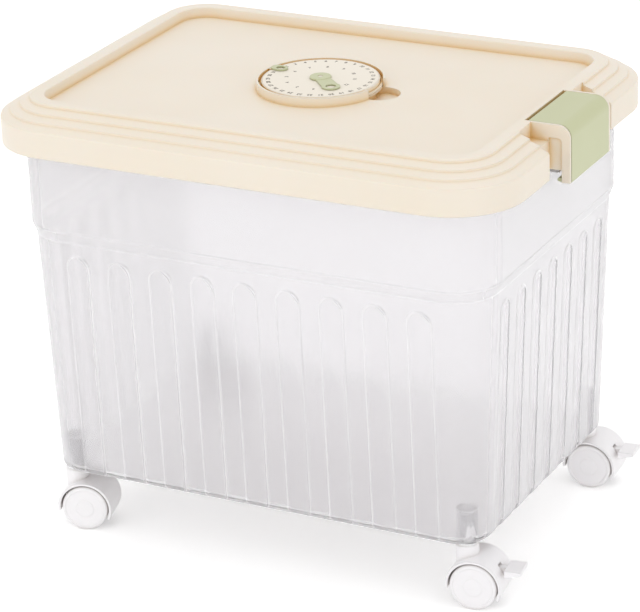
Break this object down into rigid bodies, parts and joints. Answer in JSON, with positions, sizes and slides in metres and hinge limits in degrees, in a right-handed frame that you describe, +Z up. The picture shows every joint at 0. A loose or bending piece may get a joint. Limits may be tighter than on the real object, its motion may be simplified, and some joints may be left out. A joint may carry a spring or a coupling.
{
  "type": "rolling rice bin with flip lid",
  "caption": "Clear fluted rice bin on four swivel casters, with a stepped flip lid, a front latch and a date dial over a vent basket.",
  "frame": {"origin": "centre of the floor outline, on the floor under the wheels", "axes": "+X to the latch end, -X to the hinge end, -Y to the long side nearest the viewer, +Z up"},
  "size_m": [0.445, 0.318, 0.359],
  "materials": {
    "clear": "clear frosted polypropylene, grey white",
    "cream": "satin cream polypropylene",
    "green": "satin pale leaf green",
    "white": "satin white nylon",
    "steel": "drawn steel wire and turned stems",
    "seal": "soft translucent silicone",
    "print": "matt cream disc for plain day and month numbers"
  },
  "bodies": {
    "bin": {"bin_body": "clear", "hinge_pin": "steel", "fl_stem": "steel", "fr_stem": "steel", "bl_stem": "steel", "br_stem": "steel"},
    "lid": {"lid_cover": "cream", "lid_seal": "seal", "latch_pin": "steel", "vent_basket": "cream"},
    "latch": {"latch_button": "green"},
    "cap": {"dial_cap": "cream", "dial_face": "print", "pointer_pin": "cream"},
    "day_marker": {"day_ring": "cream", "day_window": "green"},
    "month_marker": {"month_pointer": "green"},
    "fl_swivel": {"fl_hood": "white", "fl_axle": "steel"},
    "fl_near": {"fl_wheel_near": "white"},
    "fl_far": {"fl_wheel_far": "white"},
    "fr_swivel": {"fr_hood": "white", "fr_axle": "steel", "fr_brake_pin": "steel"},
    "fr_near": {"fr_wheel_near": "white"},
    "fr_far": {"fr_wheel_far": "white"},
    "fr_brake_lever": {"fr_brake": "white"},
    "bl_swivel": {"bl_hood": "white", "bl_axle": "steel"},
    "bl_near": {"bl_wheel_near": "white"},
    "bl_far": {"bl_wheel_far": "white"},
    "br_swivel": {"br_hood": "white", "br_axle": "steel", "br_brake_pin": "steel"},
    "br_near": {"br_wheel_near": "white"},
    "br_far": {"br_wheel_far": "white"},
    "br_brake_lever": {"br_brake": "white"}
  },
  "joints": [
    {"name": "lid_hinge", "type": "hinge", "parent": "bin", "child": "lid", "pos_m": [-0.2192, 0, 0.327], "axis": [0, -1, 0], "range_deg": [0, 105]},
    {"name": "latch_hinge", "type": "hinge", "parent": "lid", "child": "latch", "pos_m": [0.1925, 0, 0.3547], "axis": [0, -1, 0], "range_deg": [0, 80]},
    {"name": "cap_lift", "type": "slide", "parent": "lid", "child": "cap", "axis": [0, 0, 1], "range_m": [0, 0.04]},
    {"name": "day_turn", "type": "hinge", "parent": "cap", "child": "day_marker", "pos_m": [0, 0, 0.3524], "axis": [0, 0, 1], "continuous": true},
    {"name": "month_turn", "type": "hinge", "parent": "cap", "child": "month_marker", "pos_m": [0, 0, 0.357], "axis": [0, 0, 1], "continuous": true},
    {"name": "fl_swivel_turn", "type": "hinge", "parent": "bin", "child": "fl_swivel", "pos_m": [-0.17006, -0.11438, 0.049], "axis": [0, 0, 1], "continuous": true},
    {"name": "fl_near_spin", "type": "hinge", "parent": "fl_swivel", "child": "fl_near", "pos_m": [-0.16189, -0.11203, 0.0185], "axis": [-0.2756, 0.9613, 0], "continuous": true},
    {"name": "fl_far_spin", "type": "hinge", "parent": "fl_swivel", "child": "fl_far", "pos_m": [-0.16189, -0.11203, 0.0185], "axis": [-0.2756, 0.9613, 0], "continuous": true},
    {"name": "fr_swivel_turn", "type": "hinge", "parent": "bin", "child": "fr_swivel", "pos_m": [0.17006, -0.11438, 0.049], "axis": [0, 0, 1], "continuous": true},
    {"name": "fr_near_spin", "type": "hinge", "parent": "fr_swivel", "child": "fr_near", "pos_m": [0.17848, -0.11319, 0.0185], "axis": [-0.1392, 0.9903, 0], "continuous": true},
    {"name": "fr_far_spin", "type": "hinge", "parent": "fr_swivel", "child": "fr_far", "pos_m": [0.17848, -0.11319, 0.0185], "axis": [-0.1392, 0.9903, 0], "continuous": true},
    {"name": "fr_brake_press", "type": "hinge", "parent": "fr_swivel", "child": "fr_brake_lever", "pos_m": [0.19284, -0.11117, 0.0275], "axis": [-0.1392, 0.9903, 0], "range_deg": [0, 12]},
    {"name": "bl_swivel_turn", "type": "hinge", "parent": "bin", "child": "bl_swivel", "pos_m": [-0.17006, 0.11438, 0.049], "axis": [0, 0, 1], "continuous": true},
    {"name": "bl_near_spin", "type": "hinge", "parent": "bl_swivel", "child": "bl_near", "pos_m": [-0.16169, 0.11585, 0.0185], "axis": [-0.1736, 0.9848, 0], "continuous": true},
    {"name": "bl_far_spin", "type": "hinge", "parent": "bl_swivel", "child": "bl_far", "pos_m": [-0.16169, 0.11585, 0.0185], "axis": [-0.1736, 0.9848, 0], "continuous": true},
    {"name": "br_swivel_turn", "type": "hinge", "parent": "bin", "child": "br_swivel", "pos_m": [0.17006, 0.11438, 0.049], "axis": [0, 0, 1], "continuous": true},
    {"name": "br_near_spin", "type": "hinge", "parent": "br_swivel", "child": "br_near", "pos_m": [0.17854, 0.11497, 0.0185], "axis": [-0.0698, 0.9976, 0], "continuous": true},
    {"name": "br_far_spin", "type": "hinge", "parent": "br_swivel", "child": "br_far", "pos_m": [0.17854, 0.11497, 0.0185], "axis": [-0.0698, 0.9976, 0], "continuous": true},
    {"name": "br_brake_press", "type": "hinge", "parent": "br_swivel", "child": "br_brake_lever", "pos_m": [0.193, 0.11598, 0.0275], "axis": [-0.0698, 0.9976, 0], "range_deg": [0, 12]}
  ]
}
